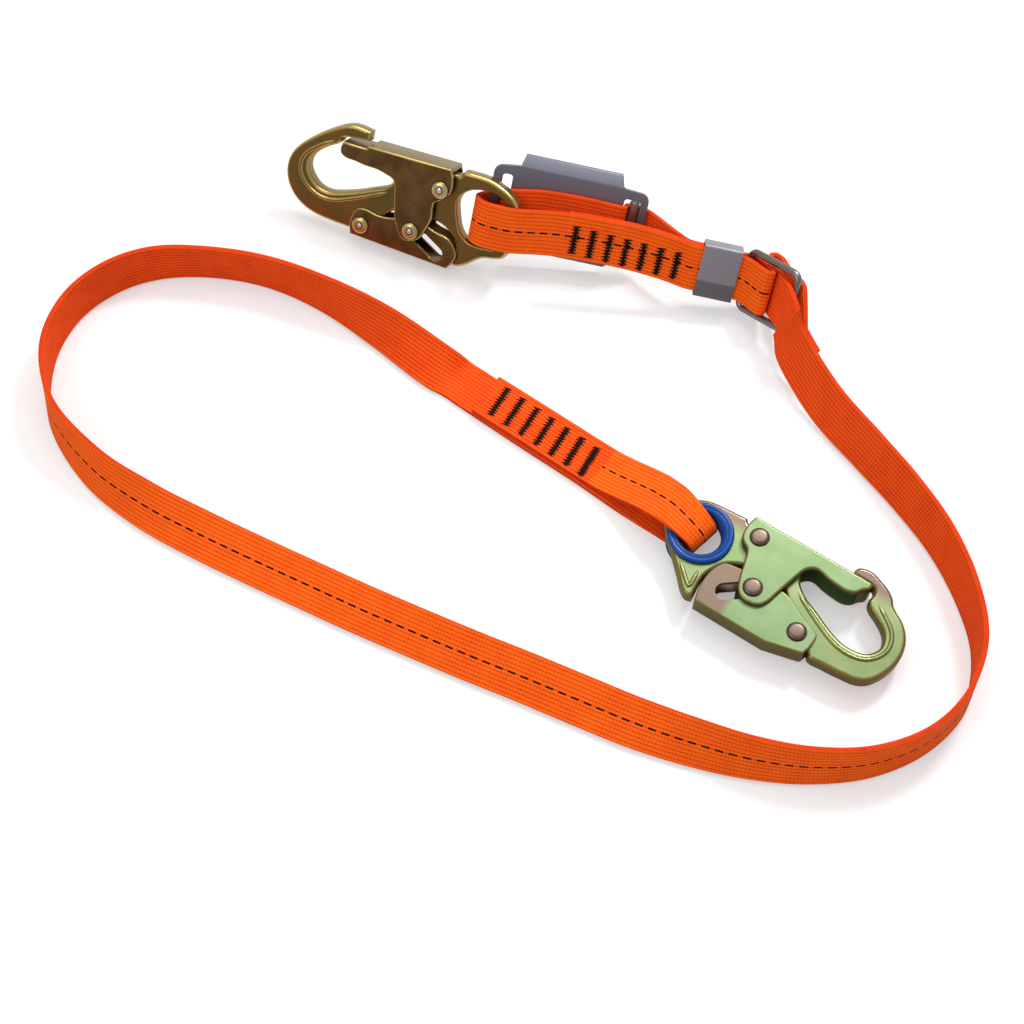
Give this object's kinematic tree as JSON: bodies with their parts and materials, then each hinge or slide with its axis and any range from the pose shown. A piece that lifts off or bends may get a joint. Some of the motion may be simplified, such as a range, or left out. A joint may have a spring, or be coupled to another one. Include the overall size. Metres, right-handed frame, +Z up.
{
  "type": "positioning lanyard",
  "caption": "Adjustable orange webbing lanyard with a steel snap hook at each end, a plate adjuster, a keeper and a rectangular ring.",
  "frame": {"origin": "middle of the base of the box round everything but the long run of webbing", "axes": "+Z up from the floor, +X to the picture's right, +Y away from its viewer"},
  "size_m": [0.4786, 0.3589, 0.0533],
  "materials": {
    "webbing": "woven orange webbing",
    "green_zinc": "light green and gold zinc plating",
    "brown_zinc": "brown and gold zinc plating",
    "rivet_steel": "plated rivet",
    "grey_plate": "grey painted steel",
    "steel": "bright steel",
    "blue_plastic": "blue plastic"
  },
  "bodies": {
    "webbing": {"long_run": "webbing", "hook_b_loop": "webbing", "ring_loop": "webbing", "adjuster_strap": "webbing", "adjuster_frame": "grey_plate", "rectangular_ring": "steel"},
    "hook_a": {"hook_a_body": "brown_zinc", "hook_a_main_rivet": "rivet_steel", "hook_a_lever_rivet": "rivet_steel"},
    "gate_a": {"gate_a": "brown_zinc", "gate_a_pin": "rivet_steel"},
    "lock_a": {"lock_lever_a": "brown_zinc"},
    "bushing": {"bushing_b": "blue_plastic"},
    "hook_b": {"hook_b_body": "green_zinc", "hook_b_main_rivet": "rivet_steel", "hook_b_lever_rivet": "rivet_steel"},
    "gate_b": {"gate_b": "green_zinc", "gate_b_pin": "rivet_steel"},
    "lock_b": {"lock_lever_b": "green_zinc"},
    "roller": {"adjuster_roller": "steel"},
    "keeper": {"keeper_band": "grey_plate"}
  },
  "joints": [
    {"name": "hook_a_swing", "type": "hinge", "parent": "webbing", "child": "hook_a", "pos_m": [-0.03639, 0.09896, 0.0309], "axis": [0.2413, 0.5498, 0.7997], "range_deg": [0, 30]},
    {"name": "gate_a_open", "type": "hinge", "parent": "hook_a", "child": "gate_a", "pos_m": [-0.06993, 0.11958, 0.0381], "axis": [-0.3214, -0.7322, 0.6004], "range_deg": [0, 20], "stiffness_Nm_per_rad": 0.2, "springref_deg": -11.46},
    {"name": "lock_a_squeeze", "type": "hinge", "parent": "hook_a", "child": "lock_a", "pos_m": [-0.11588, 0.11641, 0.00963], "axis": [-0.3214, -0.7322, 0.6004], "range_deg": [0, 6]},
    {"name": "hook_b_lift", "type": "hinge", "parent": "webbing", "child": "bushing", "pos_m": [0.04784, -0.06543, 0.0102], "axis": [-0.6561, -0.7547, 0], "range_deg": [0, 2.5]},
    {"name": "hook_b_swivel", "type": "hinge", "parent": "bushing", "child": "hook_b", "pos_m": [0.06067, -0.07659, 0.0102], "axis": [0, 0, 1], "range_deg": [-20, 20]},
    {"name": "gate_b_open", "type": "hinge", "parent": "hook_b", "child": "gate_b", "pos_m": [0.08967, -0.08065, 0.0102], "axis": [0, 0, -1], "range_deg": [0, 20], "stiffness_Nm_per_rad": 0.2, "springref_deg": -11.46},
    {"name": "lock_b_squeeze", "type": "hinge", "parent": "hook_b", "child": "lock_b", "pos_m": [0.10497, -0.13056, 0.0102], "axis": [0, 0, -1], "range_deg": [0, 8]},
    {"name": "roller_spin", "type": "hinge", "parent": "webbing", "child": "roller", "pos_m": [0.02738, 0.09549, 0.01829], "axis": [0.19, 0.5597, 0.8066], "continuous": true},
    {"name": "keeper_slide", "type": "slide", "parent": "webbing", "child": "keeper", "axis": [0.9787, -0.1733, -0.1103], "range_m": [-0.005, 0]}
  ],
  "couplings": [
    {"joint": "lock_a_squeeze", "follows": "gate_a_open", "ratio": 0.3},
    {"joint": "lock_b_squeeze", "follows": "gate_b_open", "ratio": 0.4}
  ]
}
